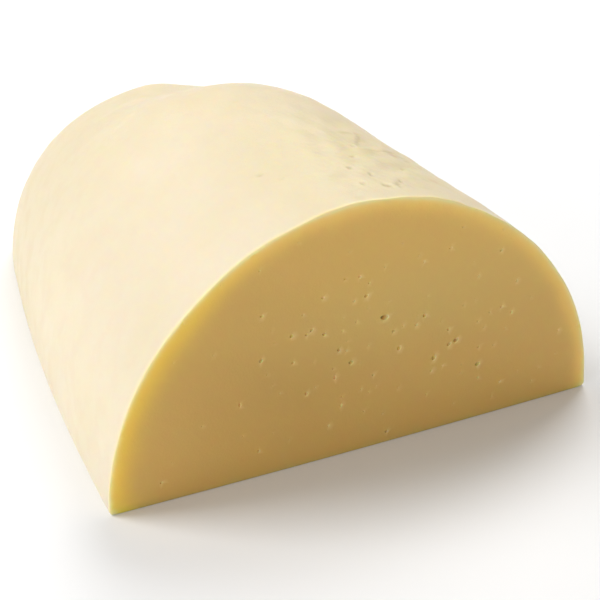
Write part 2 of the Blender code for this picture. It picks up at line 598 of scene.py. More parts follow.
@dataclass
class LogForm:
    """The half log's outer form, as a function of the share of its length and of the place across.

    Each section is a superellipse about an axis just over the base. Its width is scaled by
    (1 - share ** start power) ** (1 / end power), and its height by a quarter ellipse past crown_start.
    """

    half_width: float
    height: float
    length: float
    front: float
    axis_height: float = 2.7 * MM
    section_power: float = 1.94
    side_drift: float = -2.0 * MM
    plan_start_power: float = 1.10
    plan_end_power: float = 3.68
    crown_start: float = 0.344
    heel_radius: float = 1.8 * MM
    most_heel_share: float = 0.3
    bow: float = 1.0 * MM
    bow_reach: float = 40.0 * MM
    swells: tuple[Swell, ...] = (
        Swell(3.3 * MM, 160.3 * MM, 16.9 * MM, -5.1 * MM),
        Swell(18.3 * MM, 119.1 * MM, 26.3 * MM, 2.6 * MM),
        Swell(-3.7 * MM, 187.3 * MM, 9.1 * MM, 1.6 * MM),
        Swell(-38.6 * MM, 210.7 * MM, 25.6 * MM, 6.0 * MM),
        Swell(42.6 * MM, 213.7 * MM, 25.6 * MM, 6.0 * MM),
    )
    dents: tuple[Swell, ...] = (
        Swell(100.0 * MM, 6.0 * MM, 13.0 * MM, 1.2 * MM),
        Swell(48.0 * MM, 102.0 * MM, 18.0 * MM, 0.8 * MM),
        Swell(-31.0 * MM, 56.0 * MM, 9.0 * MM, 0.6 * MM),
        Swell(-13.0 * MM, 60.0 * MM, 9.0 * MM, -0.6 * MM),
    )

    @classmethod
    def from_model(cls, node: str, rim_radius: float) -> "LogForm":
        """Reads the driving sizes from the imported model.

        Args:
            node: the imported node's name.
            rim_radius: how far the model's front face is drawn in by its rounded rim.

        Returns:
            The form.
        """
        low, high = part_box(node)
        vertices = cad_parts[node].data.vertices
        places = np.empty(len(vertices) * 3)
        vertices.foreach_get("co", places)
        places = places.reshape(-1, 3)
        on_front = places[:, 1] < low.y + 0.01 * MM
        top = float(places[on_front, 2].max()) + rim_radius
        return cls((high.x - low.x) / 2.0, top, high.y - low.y, low.y)

    def plan_scale(self, share: Array) -> Array:
        """Half width at a share of the length, as a share of that at the front cut."""
        return (1.0 - share**self.plan_start_power) ** (1.0 / self.plan_end_power)

    def crown_scale(self, share: Array) -> Array:
        """Height at a share of the length, as a share of the height at the front cut."""
        past = np.clip((share - self.crown_start) / (1.0 - self.crown_start), 0.0, 1.0)
        return np.sqrt(1.0 - past**2)

    def section(self, share: Array, over: Array, heel_turn: Array) -> Array:
        """Points of the rind: the rounded right heel, over the log, then the rounded left heel.

        Over the log, x = half width * sin(angle) ** (2 / power) and z = crown * (axis height
        + axis to top * cos(angle) ** (2 / power)). At a heel, a quarter circle rounds the edge
        between that curve and the base.

        Args:
            share: shares of the length, (rows, columns) or (rows, 1).
            over: places from -1 at the left heel to 1 at the right one, in the order right to left.
            heel_turn: angles round the heel, in radians, from 0 at the base.

        Returns:
            Points, (rows, columns, 3).
        """
        columns = len(over) + 2 * len(heel_turn)
        share = np.broadcast_to(share, (share.shape[0], columns))
        half_width = self.half_width * self.plan_scale(share)
        crown = self.crown_scale(share)
        axis_to_top = self.height - self.axis_height
        heel = np.minimum(self.heel_radius, self.most_heel_share * axis_to_top * crown)

        def angle_at(z: Array) -> Array:
            """Angle from the vertical at which the section passes a height."""
            return np.arccos(signed_power((z / crown - self.axis_height) / axis_to_top, self.section_power / 2.0))

        turn = np.concatenate((heel_turn, np.full(len(over), math.pi / 2.0), heel_turn[::-1]))
        side = np.concatenate((np.ones(len(heel_turn)), np.zeros(len(over)), -np.ones(len(heel_turn))))
        at_heel = side != 0.0
        depth = heel * (1.0 - np.cos(turn))
        inset = heel * (1.0 - np.sin(turn))
        reach = np.concatenate((np.zeros(len(heel_turn)), over, np.zeros(len(heel_turn))))
        angle = np.where(at_heel, side * angle_at(depth), reach * angle_at(heel))
        x = half_width * signed_power(np.sin(angle), 2.0 / self.section_power) - side * inset
        rise = axis_to_top * signed_power(np.cos(angle), 2.0 / self.section_power)
        z = np.where(at_heel, depth, crown * (self.axis_height + rise))
        return np.stack((x + self.side_drift * share, self.front + self.length * share, z), axis=-1)

    def shaped(self, points: Array) -> Array:
        """The points with the swells, the dents and the front cut's bow.

        A swell moves a point away from the axis. The bow moves a point to the front, fading out
        behind the cut.

        Args:
            points: points on the plain form, (..., 3).

        Returns:
            The shaped points.
        """
        x, y, z = points[..., 0], points[..., 1], points[..., 2]
        along = y - self.front
        axis_x = self.side_drift * along / self.length
        height = sum(swell.at(x, along) for swell in self.swells + self.dents)
        away = np.maximum(np.hypot(x - axis_x, z), MM)
        x, z = x + height * (x - axis_x) / away, z + height * z / away
        fade = np.clip(1.0 - along / self.bow_reach, 0.0, 1.0) ** 2
        return np.stack((x, y - self.bow_at(x, z) * fade, z), axis=-1)

    def bow_at(self, x: Array, z: Array) -> Array:
        """How far the front cut stands out: bow * (1 - (x / half width) ** 2) * (1 - z / (2 * height))."""
        return self.bow * np.clip(1.0 - (x / self.half_width) ** 2, 0.0, 1.0) * (1.0 - 0.5 * z / self.height)


@dataclass
class Shell:
    """The points and faces of a mesh, gathered block by block, with values that each point carries."""

    value_names: tuple[str, ...] = ("stain", "red", "rough", "hollow", "lip")
    points: list[Array] = field(default_factory=list)
    values: list[Array] = field(default_factory=list)
    corners: list[Array] = field(default_factory=list)
    slots: list[Array] = field(default_factory=list)
    count: int = 0

    def add_points(self, points: Array, **values: Array) -> Array:
        """Adds points and gives their numbers.

        Args:
            points: places, (..., 3).
            values: what the points carry, by name, each in the points' layout. The rest are 0.

        Returns:
            Their numbers, in the same layout.
        """
        shape = points.shape[:-1]
        size = int(np.prod(shape))
        self.points.append(points.reshape(-1, 3))
        block = [np.broadcast_to(values.get(name, 0.0), shape).reshape(-1) for name in self.value_names]
        self.values.append(np.stack(block, axis=-1))
        self.count += size
        return np.arange(self.count - size, self.count).reshape(shape)

    def carried(self) -> dict[str, Array]:
        """What the points carry, by name."""
        return dict(zip(self.value_names, np.concatenate(self.values).T))

    def add_faces(self, corners: Array, slot: Slot) -> None:
        """Adds faces of one finish.

        Args:
            corners: the numbers of each face's corners, (faces, 3 or 4), counter-clockwise from outside.
            slot: the finish.
        """
        self.corners.append(corners)
        self.slots.append(np.full(len(corners), slot.value))

    def add_grid(self, numbers: Array, slot: Slot) -> None:
        """Adds the quads between the rows of a grid, the rows running away from the front.

        Args:
            numbers: the grid's point numbers, (rows, columns).
            slot: the finish.
        """
        near, far = numbers[:-1], numbers[1:]
        quads = np.stack((near[:, :-1], far[:, :-1], far[:, 1:], near[:, 1:]), axis=-1)
        self.add_faces(quads.reshape(-1, 4), slot)

    def mesh(self, name: str) -> bpy.types.Mesh:
        """The finished mesh.

        Args:
            name: the mesh's name.

        Returns:
            The mesh, smooth but for its sharp edges.
        """
        mesh = bpy.data.meshes.new(name)
        points = np.concatenate(self.points)
        sizes = np.concatenate([np.full(len(c), c.shape[1]) for c in self.corners])
        flat = np.concatenate([c.ravel() for c in self.corners])
        mesh.vertices.add(len(points))
        mesh.vertices.foreach_set("co", points.ravel())
        mesh.loops.add(len(flat))
        mesh.loops.foreach_set("vertex_index", flat)
        mesh.polygons.add(len(sizes))
        mesh.polygons.foreach_set("loop_start", np.concatenate(([0], np.cumsum(sizes)[:-1])))
        mesh.polygons.foreach_set("material_index", np.concatenate(self.slots))
        mesh.update(calc_edges=True)
        mesh.validate()
        mesh.shade_smooth()
        mesh.set_sharp_from_angle(angle=math.radians(50.0))
        return mesh


@dataclass
class Eyes:
    """A set of eyes in a cut: bowls with an elliptical mouth."""

    centre: Array  # (eyes, 2)
    half_length: Array
    half_width: Array
    turn: Array  # radians
    depth: Array
    # Tone sets how dark the painted shade on an eye's floor is; chosen eyes are also deeper with it.
    tone: Array  # how dark the floor is, from 0 to 1
    lip_share: float = 0.10
    # Painted highlight: eyes at least full_size long get all of it on their walls.
    full_size: float = 0.6 * MM  # half the length of an eye whose wall is fully pale
    # Painted shade: lean sets how far the dark spot lies left of the centre; the bowl itself is centred.
    lean: float = 0.35  # how far the floor lies towards the steep wall, of the eye's half size

    @classmethod
    def chosen(cls, rows: Sequence[tuple[float, float, float, float, float, float]]) -> "Eyes":
        """Eyes from rows of x, z, length, width (mm), turn (degrees) and tone."""
        x, z, length, width, turn, tone = np.array(rows).T
        centre = np.stack((x, z), axis=-1) * MM
        depth = (0.55 * length + 0.45 * width) * MM * (0.25 + 0.65 * tone)
        return cls(centre, length / 2.0 * MM, width / 2.0 * MM, np.radians(turn), depth, tone)

    def parts(self) -> tuple[Array, ...]:
        """The arrays that hold the eyes, one row or number for each eye."""
        return self.centre, self.half_length, self.half_width, self.turn, self.depth, self.tone

    def joined(self, other: "Eyes") -> "Eyes":
        """These eyes and others as one set."""
        return Eyes(*[np.concatenate(pair) for pair in zip(self.parts(), other.parts())])

    def picked(self, kept: Array) -> "Eyes":
        """The eyes for which kept is True."""
        return Eyes(*[part[kept] for part in self.parts()])

    def ring_points(self, rings: Array, sectors: int) -> Array:
        """Points on rings round each eye, at shares of its mouth's size, and at its centre.

        Args:
            rings: the rings' sizes, with 1 at the mouth.
            sectors: points on each ring.

        Returns:
            Places on the cut, (points, 2).
        """
        angle = np.linspace(0.0, math.tau, sectors, endpoint=False)
        half_step = (np.arange(len(rings)) % 2) * (math.pi / sectors)
        turned = angle[None, :] + half_step[:, None]
        u = self.half_length[:, None, None] * rings[:, None] * np.cos(turned)
        v = self.half_width[:, None, None] * rings[:, None] * np.sin(turned)
        cos, sin = np.cos(self.turn)[:, None, None], np.sin(self.turn)[:, None, None]
        offset = np.stack((u * cos - v * sin, u * sin + v * cos), axis=-1)
        around = (self.centre[:, None, None, :] + offset).reshape(-1, 2)
        return np.concatenate((around, self.centre))

    def spread_out(self, places: Array) -> tuple[Array, Array, Array]:
        """Where each place is in each eye, in shares of the eye's own size.

        Args:
            places: places on the cut, (points, 2).

        Returns:
            The reach from the centre, with 1 at the mouth's edge, and the steps to the right and up,
            each (points, eyes).
        """
        offset = places[:, None, :] - self.centre
        cos, sin = np.cos(self.turn), np.sin(self.turn)
        u = (offset[..., 0] * cos + offset[..., 1] * sin) / self.half_length
        v = (offset[..., 1] * cos - offset[..., 0] * sin) / self.half_width
        return np.hypot(u, v), u * cos - v * sin, u * sin + v * cos

    def relief(self, places: Array) -> tuple[Array, Array, Array]:
        """How the eyes shape the cut.

        Each is a bowl sqrt(1 - reach ** 2) deep, in a raised ring exp(-((reach - 1.15) / 0.13) ** 2).
        Painted shade darkens its floor to the left, and a painted highlight lightens its wall to the
        right and below, where light falls on it; a faint eye gets a painted pale fleck at its centre.

        Args:
            places: places on the cut, (points, 2).

        Returns:
            Depths in metres, and the shares of painted shade and painted highlight at each place, from 0 to 1.
        """
        reach, right, up = self.spread_out(places)
        bowl = np.sqrt(np.clip(1.0 - reach**2, 0.0, 1.0))
        lip = np.exp(-(((reach - 1.15) / 0.13) ** 2))
        depth = (self.depth * (bowl - self.lip_share * lip)).sum(axis=1)
        # Painted shade on the floor, set to the left.
        dark = np.exp(-(((right + self.lean) / 0.85) ** 2) - (up / 0.95) ** 2) * (reach < 1.01)
        # Painted highlight on the wall facing the light, to the right and below, and a pale fleck in faint eyes.
        facing = np.clip(0.3 + right - 0.4 * up, 0.0, 1.0) * np.clip(self.half_length / self.full_size, 0.3, 1.0)
        wall = facing * np.exp(-(((reach - 1.0) / 0.5) ** 4))
        painted_centre_highlight = 0.75 * (1.0 - self.tone) * np.exp(-((reach / 0.85) ** 4))
        return depth, (dark * self.tone**1.6).max(axis=1), np.maximum(wall, painted_centre_highlight).max(axis=1)


@dataclass
class CutFace:
    """A flat cut through the paste, with eyes, as a height over its plane.

    The plane's own coordinates are (x, z) at the front cut and (x, y) at the base.
    """

    outline: Array  # (points, 2) places on the plane, counter-clockwise
    outline_numbers: Array
    eyes: Eyes
    spacing: float
    margin: float = 1.2 * MM
    rings: tuple[float, ...] = (1.5, 1.28, 1.12, 1.02, 0.96, 0.8, 0.5)
    sectors: int = 14

    def inner_places(self) -> Array:
        """Places inside the outline: a grid of triangles, and rings round each eye.

        Returns:
            Places on the plane, (points, 2).
        """
        low, high = self.outline.min(axis=0), self.outline.max(axis=0)
        step = self.spacing * math.sqrt(0.75)
        rows = np.arange(low[1] + step / 2.0, high[1], step)
        columns = np.arange(low[0], high[0], self.spacing)
        x = columns[None, :] + (np.arange(len(rows)) % 2)[:, None] * (self.spacing / 2.0)
        grid = np.stack((x, np.broadcast_to(rows[:, None], x.shape)), axis=-1).reshape(-1, 2)
        grid = grid[(self.eyes.spread_out(grid)[0] > 1.8).all(axis=1)]
        places = np.concatenate((grid, self.eyes.ring_points(np.array(self.rings), self.sectors)))
        inside = self.contains(places)
        return places[inside & (distance_to(places, self.outline) > self.margin)]

    def contains(self, places: Array) -> Array:
        """Whether each place is inside the outline: a ray from it crosses the outline an odd number of times.

        Args:
            places: places on the plane, (points, 2).

        Returns:
            True or False for each.
        """
        start, end = self.outline, np.roll(self.outline, -1, axis=0)
        x, y = places[:, :1], places[:, 1:]
        spans = (start[:, 1] > y) != (end[:, 1] > y)
        rise = np.where(end[:, 1] == start[:, 1], 1.0, end[:, 1] - start[:, 1])
        crossing = start[:, 0] + (y - start[:, 1]) * (end[:, 0] - start[:, 0]) / rise
        return (spans & (x < crossing)).sum(axis=1) % 2 == 1

    def triangles(self, inner: Array) -> Array:
        """Triangles over the outline and the inner places.

        The triangulation also fills the hollows outside the outline. Such a triangle has all its
        corners on the outline, and in the outline's own order they run clockwise.

        Args:
            inner: places inside the outline, (points, 2).

        Returns:
            Corner numbers, counted through the outline and then the inner places, (faces, 3).
        """
        places = np.concatenate((self.outline, inner)) / MM
        ends = np.arange(len(self.outline))
        edges = np.stack((ends, np.roll(ends, -1)), axis=-1).tolist()
        made = delaunay_2d_cdt([Vector(place) for place in places], edges, [], 0, 1e-6, True)
        source = np.array([came_from[0] for came_from in made[3]])
        corners = source[np.array(made[2])]

        def turns_back(corners: Array) -> Array:
            """Whether each triangle's corners run clockwise."""
            a, b, c = (places[corners[:, k]] for k in range(3))
            ab, ac = b - a, c - a
            return ab[:, 0] * ac[:, 1] - ab[:, 1] * ac[:, 0] < 0.0

        on_outline = (corners < len(self.outline)).all(axis=1)
        outside = on_outline & turns_back(np.sort(corners, axis=1))
        corners = corners[~outside]
        turned = turns_back(corners)
        corners[turned] = corners[turned][:, ::-1]
        return corners


@dataclass
class Cheese:
    """The half log: rind, front cut and base cut as one closed piece."""

    form: LogForm
    rim_radius: float = 0.6 * MM
    rim_ripple: float = 0.30
    base_rim_share: float = 0.45
    rim_turns: int = 6
    heel_turns: int = 4
    spacing: float = 2.4 * MM
    fine_spacing: float = 0.5 * MM
    patch: tuple[float, float] = (20.0 * MM, 38.0 * MM)
    patch_spread: float = 18.0 * MM
    nose_half_width: float = 5.0 * MM
    lump_height: float = 0.22 * MM
    rough_patch: Swell = Swell(30.0 * MM, 40.0 * MM, 30.0 * MM, 1.0)
    rough_height: float = 0.16 * MM
    name: str = "provolone_half"

    def over_places(self) -> Array:
        """Places over the log, from 1 at the right heel to -1 at the left, closer in the rough patch."""
        arc = math.pi * self.form.half_width
        from_right = arc / 2.0 - self.patch[0]
        return 1.0 - 2.0 * graded(arc, self.spacing, self.fine_spacing, from_right, self.patch_spread) / arc

    def shares(self) -> Array:
        """Shares of the length for the rows behind the rim, closer in the rough patch.

        Rows are spaced along a path whose steps count the changes in width and height too.

        Returns:
            The shares.
        """
        form = self.form
        narrow = (self.nose_half_width / form.half_width) ** form.plan_end_power
        last = (1.0 - narrow) ** (1.0 / form.plan_start_power)
        first = 1.9 * self.rim_radius / form.length
        share = last - (last - first) * np.linspace(1.0, 0.0, 20001) ** 3
        steps = np.sqrt(
            (form.half_width * np.diff(form.plan_scale(share))) ** 2
            + (form.height * np.diff(form.crown_scale(share))) ** 2
            + (form.length * np.diff(share)) ** 2
        )
        path = np.concatenate(([0.0], np.cumsum(steps)))
        places = graded(path[-1], self.spacing, self.fine_spacing, self.patch[1], self.patch_spread)
        return np.interp(places, path, share)

    def rim_rows(self, over: Array, heel_turn: Array, base_columns: int) -> Array:
        """Closed rings round the front rim, from the cut's edge to the rind.

        A ring's depth is radius * (1 - cos(turn)) and its inset radius * (1 - sin(turn)), with a
        radius that ripples along the rim.

        Args:
            over: places over the log.
            heel_turn: angles round a heel.
            base_columns: points along the base, between the heels.

        Returns:
            Points, (rows, columns, 3).
        """
        form = self.form
        turn = np.radians(np.linspace(0.0, 90.0, self.rim_turns + 1))[:, None]
        plain = self.closed(form.section(np.zeros((1, 1)), over, heel_turn), base_columns)[0]
        flat = plain[:, [0, 2]]
        ripple = 0.7 * waves(flat, 15.0 * MM, 11) + 0.4 * waves(flat, 6.5 * MM, 12)
        low = np.clip(1.0 - flat[:, 1] / (3.0 * MM), 0.0, 1.0)
        radius = self.rim_radius * (1.0 + self.rim_ripple * ripple * (1.0 - 0.7 * low))
        radius *= 1.0 - (1.0 - self.base_rim_share) * low
        depth = radius * (1.0 - np.cos(turn))
        inset = radius * (1.0 - np.sin(turn))
        arc = len(over) + 2 * len(heel_turn)
        rows = self.closed(form.section(depth[:, :arc] / form.length, over, heel_turn), base_columns)
        rows[..., 1] = form.front + depth
        top = rows[..., 2].max(axis=1, keepdims=True)
        middle = top / 2.0
        rows[..., 0] *= 1.0 - inset / np.abs(rows[..., 0]).max(axis=1, keepdims=True)
        rows[..., 2] = middle + (rows[..., 2] - middle) * (1.0 - 2.0 * inset / top)
        return rows

    @staticmethod
    def closed(rows: Array, base_columns: int) -> Array:
        """The rows with points along the base, from the left heel back to the right one.

        Args:
            rows: points from the right heel to the left one, (rows, columns, 3).
            base_columns: how many points to add.

        Returns:
            Points of closed rings, (rows, more columns, 3).
        """
        share = np.linspace(0.0, 1.0, base_columns + 2)[1:-1, None]
        base = rows[:, -1:, :] + (rows[:, :1, :] - rows[:, -1:, :]) * share
        return np.concatenate((rows, base), axis=1)

    def fine_relief(self, points: Array) -> tuple[Array, dict[str, Array]]:
        """How far the rind is raised or cut at each point, and how it is marked.

        Args:
            points: points on the shaped form, (rows, columns, 3).

        Returns:
            Heights in metres, and how stained, red and rough each point is, from 0 to 1.
        """
        x, along, z = points[..., 0], points[..., 1] - self.form.front, points[..., 2]
        on_top = np.clip((z / self.form.height - 0.6) / 0.1, 0.0, 1.0)
        rough = self.rough_patch.at(x, along) * np.clip((z / self.form.height - 0.2) / 0.4, 0.0, 1.0)
        height = self.lump_height * waves(points, 45.0 * MM, 21)
        height += (0.25 * self.lump_height + self.rough_height * rough) * waves(points, 13.0 * MM, 22)
        height += 0.4 * self.rough_height * rough * waves(points, 4.5 * MM, 23)
        stain, red = np.zeros_like(x), np.zeros_like(x)
        for mark in rind_marks():
            cut, tint, redness = mark.at(x, along)
            height -= cut * on_top
            stain = np.maximum(stain, tint * on_top)
            red = np.maximum(red, redness * on_top)
        above_base = np.clip(z / (6.0 * MM), 0.0, 1.0)
        return height * above_base, {"stain": stain, "red": red, "rough": rough}

    @staticmethod
    def normals(points: Array) -> Array:
        """Outward normals of a grid: its step along crossed with its step across.

        Args:
            points: the grid, (rows, columns, 3).

        Returns:
            Unit normals, (rows, columns, 3).
        """
        along = np.gradient(points, axis=0)
        across = np.gradient(points, axis=1)
        normal = np.cross(along, across)
        return normal / np.maximum(np.linalg.norm(normal, axis=-1, keepdims=True), 1e-12)

    def build(self) -> bpy.types.Object:
        """Builds the closed piece and its attributes.

        Returns:
            The piece.
        """
        form, shell = self.form, Shell()
        over = self.over_places()
        heel_turn = np.radians(np.linspace(0.0, 90.0, self.heel_turns + 1))[:-1]
        arc = len(over) + 2 * len(heel_turn)
        base_columns = round(2.0 * form.half_width / (1.6 * self.spacing))

        rim = form.shaped(self.rim_rows(over, heel_turn, base_columns))
        body = form.shaped(form.section(self.shares()[:, None], over, heel_turn))
        rind = np.concatenate((rim[:, :arc], body))
        height, marks = self.fine_relief(rind)
        height[: self.rim_turns] *= np.linspace(0.0, 1.0, self.rim_turns)[:, None]
        rind = rind + self.normals(rind) * height[..., None]
        rim[:, :arc] = rind[: len(rim)]

        rim_values = {name: np.zeros(rim.shape[:2]) for name in marks}
        for name, value in marks.items():
            rim_values[name][:, :arc] = value[: len(rim)]
        rim_numbers = shell.add_points(rim, **rim_values)
        body_values = {name: value[len(rim) :] for name, value in marks.items()}
        body_numbers = shell.add_points(rind[len(rim) :], **body_values)
        shell.add_grid(rim_numbers[:, :arc], Slot.RIND)
        shell.add_grid(np.concatenate((rim_numbers[:, arc - 1 :], rim_numbers[:, :1]), axis=1), Slot.PASTE)
        over_numbers = np.concatenate((rim_numbers[-1:, :arc], body_numbers))
        shell.add_grid(over_numbers, Slot.RIND)

        last = over_numbers[-1]
        tip = shell.add_points(rind[-1].mean(axis=0)[None])
        ends = np.roll(last, -1)
        shell.add_faces(np.stack((last, np.full(len(last), tip[0]), ends), axis=-1), Slot.RIND)

        rind_count = shell.count
        front = self.front_cut(rim[0][:, [0, 2]], rim_numbers[0])
        self.add_cut(shell, front, self.front_points, Slot.PASTE, False)
        base_ring = np.concatenate((rim_numbers[-1, arc:], over_numbers[:, 0], over_numbers[::-1, -1]))
        everything = np.concatenate(shell.points)
        base = self.base_cut(everything[base_ring][:, :2], base_ring)
        self.add_cut(shell, base, self.base_points, Slot.PASTE, True)

        points = np.concatenate(shell.points)
        to_rind = np.zeros(shell.count)
        rind_edge = np.concatenate((rim_numbers[0, :arc], over_numbers[:, 0], over_numbers[:, -1]))
        to_rind[rind_count:] = distance_to(points[rind_count:], points[rind_edge])
        base_rim = rim_numbers[:, arc:]
        to_rind[base_rim] = distance_to(points[base_rim].reshape(-1, 3), points[rind_edge]).reshape(base_rim.shape)
        to_cut = points[:, 1] - form.front
        return self.piece(shell, {**shell.carried(), "to_rind": to_rind, "to_cut": to_cut})

    def front_cut(self, outline: Array, numbers: Array) -> CutFace:
        """The D-shaped crosswise cut.

        Args:
            outline: its edge, (points, 2), in x and z.
            numbers: the edge's point numbers.

        Returns:
            The cut face.
        """
        return CutFace(outline, numbers, front_eyes(), self.spacing)

    def base_cut(self, outline: Array, numbers: Array) -> CutFace:
        """The lengthwise cut that the cheese lies on.

        Args:
            outline: its edge, (points, 2), in x and y.
            numbers: the edge's point numbers.

        Returns:
            The cut face.
        """
        return CutFace(outline, numbers, base_eyes(self.form), 1.6 * self.spacing, sectors=10)

    def front_points(self, places: Array, depth: Array) -> Array:
        """Points of the front cut, bowed as its rim is, with the knife's faint waves.

        Args:
            places: x and z, (points, 2).
            depth: how deep each point lies in an eye.

        Returns:
            Points, (points, 3).
        """
        x, z = places.T
        wave = 0.10 * MM * waves(places * (1.0, 2.2), 42.0 * MM, 31) + 0.03 * MM * waves(places, 9.0 * MM, 32)
        return np.stack((x, self.form.front - self.form.bow_at(x, z) + wave + depth, z), axis=-1)

    @staticmethod
    def base_points(places: Array, depth: Array) -> Array:
        """Points of the base, flat but for its eyes.

        Args:
            places: x and y, (points, 2).
            depth: how deep each point lies in an eye.

        Returns:
            Points, (points, 3).
        """
        return np.stack((places[:, 0], places[:, 1], np.maximum(depth, 0.0)), axis=-1)

    def add_cut(self, shell: Shell, cut: CutFace, to_points: Any, slot: Slot, turned: bool) -> None:
        """Adds a cut face to the shell.

        Args:
            shell: the shell.
            cut: the cut face.
            to_points: gives the points for places on the plane and their depths.
            slot: its finish.
            turned: True to turn its faces round.
        """
        inner = cut.inner_places()
        triangles = cut.triangles(inner)
        depth, hollow, lip = cut.eyes.relief(inner)
        added = shell.add_points(to_points(inner, depth), hollow=hollow, lip=lip)
        numbers = np.concatenate((cut.outline_numbers, added))
        corners = numbers[triangles]
        shell.add_faces(corners[:, ::-1] if turned else corners, slot)

    def piece(self, shell: Shell, attributes: dict[str, Array]) -> bpy.types.Object:
        """The object with its attributes.

        Args:
            shell: the gathered mesh.
            attributes: numbers for each point, by name.

        Returns:
            The object.
        """
        mesh = shell.mesh(self.name)
        for name, values in attributes.items():
            mesh.attributes.new(name, "FLOAT", "POINT").data.foreach_set("value", values)
        piece = bpy.data.objects.new(self.name, mesh)
        bpy.context.scene.collection.objects.link(piece)
        return piece

    def dress(self, piece: bpy.types.Object) -> None:
        """Gives the piece its finishes and its place in the model."""
        finishes = {Slot.RIND: RindFinish(), Slot.PASTE: PasteFinish()}
        for slot in Slot:
            piece.data.materials.append(finishes[slot].material())
        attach(piece, "root")
        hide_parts(NODE)


def scattered(
    count: int,
    low: Array,
    high: Array,
    radius: tuple[float, float],
    gap: float,
    seed: int,
    focus: Optional[Array] = None,
    tone: float = 0.7,
) -> Eyes:
    """Small eyes at random places that keep clear of each other.

    Args:
        count: how many are tried.
        low: the lowest place.
        high: the highest place.
        radius: the smallest and largest radius. Small ones are the more common.
        gap: the least distance between two centres.
        seed: what the places are drawn from.
        focus: centre and spread of the cluster that half of them gather in, (2, 2).
        tone: how dark the painted shade on their floors is, from 0 to 1; the lower it is, the stronger their
            painted pale fleck.

    Returns:
        The eyes.
    """
    draw = np.random.default_rng(seed)
    centre = draw.uniform(low, high, (count, 2))
    if focus is not None:
        gathered = draw.normal(focus[0], focus[1], (count, 2))
        centre = np.where(draw.random((count, 1)) < 0.55, gathered, centre)
    apart = np.linalg.norm(centre[:, None] - centre, axis=-1) + np.tri(count).T * 1.0
    centre = centre[apart.min(axis=1) > gap]
    kept = len(centre)
    size = radius[0] + (radius[1] - radius[0]) * draw.random(kept) ** 2.5
    stretch = draw.uniform(1.0, 1.6, kept)
    turn = draw.uniform(-0.6, 0.6, kept)
    depth = size * draw.uniform(1.0, 1.8, kept)
    return Eyes(centre, size * stretch, size / np.sqrt(stretch), turn, depth, np.full(kept, tone))


